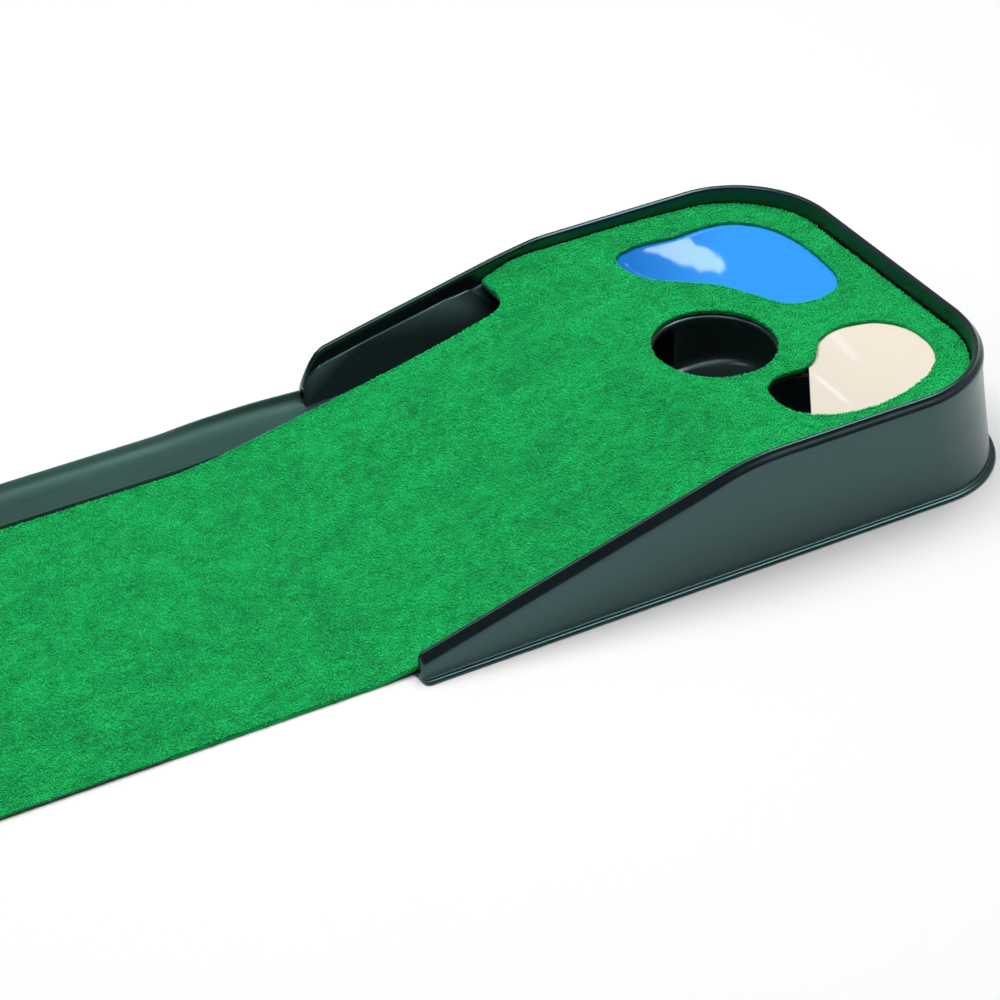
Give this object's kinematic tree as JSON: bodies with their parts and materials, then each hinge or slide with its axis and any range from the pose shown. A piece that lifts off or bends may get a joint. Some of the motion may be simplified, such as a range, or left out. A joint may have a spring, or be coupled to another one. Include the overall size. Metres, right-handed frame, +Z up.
{
  "type": "practice putting mat",
  "caption": "Turf putting mat that climbs a moulded ramp to a deck with a cup, water and sand hazards, and a gutter that returns the ball. The mat rolls up.",
  "frame": {"origin": "on the floor, on the mat's centre line, under the ramp's front lip", "axes": "+X along the mat towards the cup end, +Y towards the ball-return gutter, +Z up"},
  "size_m": [2.747, 0.3692, 0.0935],
  "materials": {
    "shell": "dark green-black moulded plastic, satin, with a glossier rim",
    "cup": "glossy black moulded plastic",
    "screw": "plated steel",
    "water": "glossy bright blue",
    "sand": "glossy pale beige",
    "tape": "black hook tape",
    "turf": "short-pile green putting turf on a dark backing",
    "gutter": "satin dark grey-green plastic"
  },
  "bodies": {
    "root": {"ramp_shell": "shell", "cup": "cup", "catch_well": "cup", "return_chute": "cup", "chute_screws": "screw", "water_tray": "water", "sand_tray": "sand", "hook_strips": "tape", "turf_ramp": "turf"},
    "gutter_upper": {"track_upper": "gutter"},
    "gutter_middle": {"track_middle": "gutter"},
    "gutter_lower": {"track_lower": "gutter", "track_end_stop": "gutter"},
    "mat_strip_01": {"mat_strip_01": "turf"},
    "mat_strip_02": {"mat_strip_02": "turf"},
    "mat_strip_03": {"mat_strip_03": "turf"},
    "mat_strip_04": {"mat_strip_04": "turf"},
    "mat_strip_05": {"mat_strip_05": "turf"},
    "mat_strip_06": {"mat_strip_06": "turf"},
    "mat_strip_07": {"mat_strip_07": "turf"},
    "mat_strip_08": {"mat_strip_08": "turf"},
    "mat_strip_09": {"mat_strip_09": "turf"},
    "mat_strip_10": {"mat_strip_10": "turf"},
    "mat_strip_11": {"mat_strip_11": "turf"},
    "mat_strip_12": {"mat_strip_12": "turf"},
    "mat_strip_13": {"mat_strip_13": "turf"},
    "mat_strip_14": {"mat_strip_14": "turf"},
    "mat_strip_15": {"mat_strip_15": "turf"},
    "mat_strip_16": {"mat_strip_16": "turf"},
    "mat_strip_17": {"mat_strip_17": "turf"},
    "mat_strip_18": {"mat_strip_18": "turf"},
    "mat_strip_19": {"mat_strip_19": "turf"},
    "mat_strip_20": {"mat_strip_20": "turf"},
    "mat_strip_21": {"mat_strip_21": "turf"},
    "mat_strip_22": {"mat_strip_22": "turf"},
    "mat_strip_23": {"mat_strip_23": "turf"},
    "mat_strip_24": {"mat_strip_24": "turf"}
  },
  "joints": [
    {"name": "gutter_1_unplug", "type": "slide", "parent": "root", "child": "gutter_upper", "axis": [-0.9933, 0.1159, 0], "range_m": [0, 0.035]},
    {"name": "gutter_2_unplug", "type": "slide", "parent": "gutter_upper", "child": "gutter_middle", "axis": [-1, 0, 0], "range_m": [0, 0.05]},
    {"name": "gutter_3_unplug", "type": "slide", "parent": "gutter_middle", "child": "gutter_lower", "axis": [-1, 0, 0], "range_m": [0, 0.05]},
    {"name": "mat_roll_01", "type": "hinge", "parent": "root", "child": "mat_strip_01", "pos_m": [-0.24, 0, 0.004], "axis": [0, 1, 0], "range_deg": [0, 52.5]},
    {"name": "mat_roll_02", "type": "hinge", "parent": "mat_strip_01", "child": "mat_strip_02", "pos_m": [-0.33892, 0, 0.004], "axis": [0, 1, 0], "range_deg": [0, 52.5]},
    {"name": "mat_roll_03", "type": "hinge", "parent": "mat_strip_02", "child": "mat_strip_03", "pos_m": [-0.4364, 0, 0.004], "axis": [0, 1, 0], "range_deg": [0, 52.5]},
    {"name": "mat_roll_04", "type": "hinge", "parent": "mat_strip_03", "child": "mat_strip_04", "pos_m": [-0.53243, 0, 0.004], "axis": [0, 1, 0], "range_deg": [0, 52.5]},
    {"name": "mat_roll_05", "type": "hinge", "parent": "mat_strip_04", "child": "mat_strip_05", "pos_m": [-0.627, 0, 0.004], "axis": [0, 1, 0], "range_deg": [0, 52.5]},
    {"name": "mat_roll_06", "type": "hinge", "parent": "mat_strip_05", "child": "mat_strip_06", "pos_m": [-0.72013, 0, 0.004], "axis": [0, 1, 0], "range_deg": [0, 52.5]},
    {"name": "mat_roll_07", "type": "hinge", "parent": "mat_strip_06", "child": "mat_strip_07", "pos_m": [-0.8118, 0, 0.004], "axis": [0, 1, 0], "range_deg": [0, 52.5]},
    {"name": "mat_roll_08", "type": "hinge", "parent": "mat_strip_07", "child": "mat_strip_08", "pos_m": [-0.90202, 0, 0.004], "axis": [0, 1, 0], "range_deg": [0, 52.5]},
    {"name": "mat_roll_09", "type": "hinge", "parent": "mat_strip_08", "child": "mat_strip_09", "pos_m": [-0.9908, 0, 0.004], "axis": [0, 1, 0], "range_deg": [0, 52.5]},
    {"name": "mat_roll_10", "type": "hinge", "parent": "mat_strip_09", "child": "mat_strip_10", "pos_m": [-1.07812, 0, 0.004], "axis": [0, 1, 0], "range_deg": [0, 52.5]},
    {"name": "mat_roll_11", "type": "hinge", "parent": "mat_strip_10", "child": "mat_strip_11", "pos_m": [-1.164, 0, 0.004], "axis": [0, 1, 0], "range_deg": [0, 52.5]},
    {"name": "mat_roll_12", "type": "hinge", "parent": "mat_strip_11", "child": "mat_strip_12", "pos_m": [-1.24842, 0, 0.004], "axis": [0, 1, 0], "range_deg": [0, 52.5]},
    {"name": "mat_roll_13", "type": "hinge", "parent": "mat_strip_12", "child": "mat_strip_13", "pos_m": [-1.3314, 0, 0.004], "axis": [0, 1, 0], "range_deg": [0, 52.5]},
    {"name": "mat_roll_14", "type": "hinge", "parent": "mat_strip_13", "child": "mat_strip_14", "pos_m": [-1.41292, 0, 0.004], "axis": [0, 1, 0], "range_deg": [0, 52.5]},
    {"name": "mat_roll_15", "type": "hinge", "parent": "mat_strip_14", "child": "mat_strip_15", "pos_m": [-1.493, 0, 0.004], "axis": [0, 1, 0], "range_deg": [0, 52.5]},
    {"name": "mat_roll_16", "type": "hinge", "parent": "mat_strip_15", "child": "mat_strip_16", "pos_m": [-1.57163, 0, 0.004], "axis": [0, 1, 0], "range_deg": [0, 52.5]},
    {"name": "mat_roll_17", "type": "hinge", "parent": "mat_strip_16", "child": "mat_strip_17", "pos_m": [-1.6488, 0, 0.004], "axis": [0, 1, 0], "range_deg": [0, 52.5]},
    {"name": "mat_roll_18", "type": "hinge", "parent": "mat_strip_17", "child": "mat_strip_18", "pos_m": [-1.72453, 0, 0.004], "axis": [0, 1, 0], "range_deg": [0, 52.5]},
    {"name": "mat_roll_19", "type": "hinge", "parent": "mat_strip_18", "child": "mat_strip_19", "pos_m": [-1.7988, 0, 0.004], "axis": [0, 1, 0], "range_deg": [0, 52.5]},
    {"name": "mat_roll_20", "type": "hinge", "parent": "mat_strip_19", "child": "mat_strip_20", "pos_m": [-1.87163, 0, 0.004], "axis": [0, 1, 0], "range_deg": [0, 52.5]},
    {"name": "mat_roll_21", "type": "hinge", "parent": "mat_strip_20", "child": "mat_strip_21", "pos_m": [-1.943, 0, 0.004], "axis": [0, 1, 0], "range_deg": [0, 52.5]},
    {"name": "mat_roll_22", "type": "hinge", "parent": "mat_strip_21", "child": "mat_strip_22", "pos_m": [-2.01293, 0, 0.004], "axis": [0, 1, 0], "range_deg": [0, 52.5]},
    {"name": "mat_roll_23", "type": "hinge", "parent": "mat_strip_22", "child": "mat_strip_23", "pos_m": [-2.0814, 0, 0.004], "axis": [0, 1, 0], "range_deg": [0, 52.5]},
    {"name": "mat_roll_24", "type": "hinge", "parent": "mat_strip_23", "child": "mat_strip_24", "pos_m": [-2.14843, 0, 0.004], "axis": [0, 1, 0], "range_deg": [0, 52.5]}
  ],
  "couplings": [
    {"joint": "mat_roll_02", "follows": "mat_roll_01", "ratio": 1},
    {"joint": "mat_roll_03", "follows": "mat_roll_01", "ratio": 1},
    {"joint": "mat_roll_04", "follows": "mat_roll_01", "ratio": 1},
    {"joint": "mat_roll_05", "follows": "mat_roll_01", "ratio": 1},
    {"joint": "mat_roll_06", "follows": "mat_roll_01", "ratio": 1},
    {"joint": "mat_roll_07", "follows": "mat_roll_01", "ratio": 1},
    {"joint": "mat_roll_08", "follows": "mat_roll_01", "ratio": 1},
    {"joint": "mat_roll_09", "follows": "mat_roll_01", "ratio": 1},
    {"joint": "mat_roll_10", "follows": "mat_roll_01", "ratio": 1},
    {"joint": "mat_roll_11", "follows": "mat_roll_01", "ratio": 1},
    {"joint": "mat_roll_12", "follows": "mat_roll_01", "ratio": 1},
    {"joint": "mat_roll_13", "follows": "mat_roll_01", "ratio": 1},
    {"joint": "mat_roll_14", "follows": "mat_roll_01", "ratio": 1},
    {"joint": "mat_roll_15", "follows": "mat_roll_01", "ratio": 1},
    {"joint": "mat_roll_16", "follows": "mat_roll_01", "ratio": 1},
    {"joint": "mat_roll_17", "follows": "mat_roll_01", "ratio": 1},
    {"joint": "mat_roll_18", "follows": "mat_roll_01", "ratio": 1},
    {"joint": "mat_roll_19", "follows": "mat_roll_01", "ratio": 1},
    {"joint": "mat_roll_20", "follows": "mat_roll_01", "ratio": 1},
    {"joint": "mat_roll_21", "follows": "mat_roll_01", "ratio": 1},
    {"joint": "mat_roll_22", "follows": "mat_roll_01", "ratio": 1},
    {"joint": "mat_roll_23", "follows": "mat_roll_01", "ratio": 1},
    {"joint": "mat_roll_24", "follows": "mat_roll_01", "ratio": 1}
  ]
}
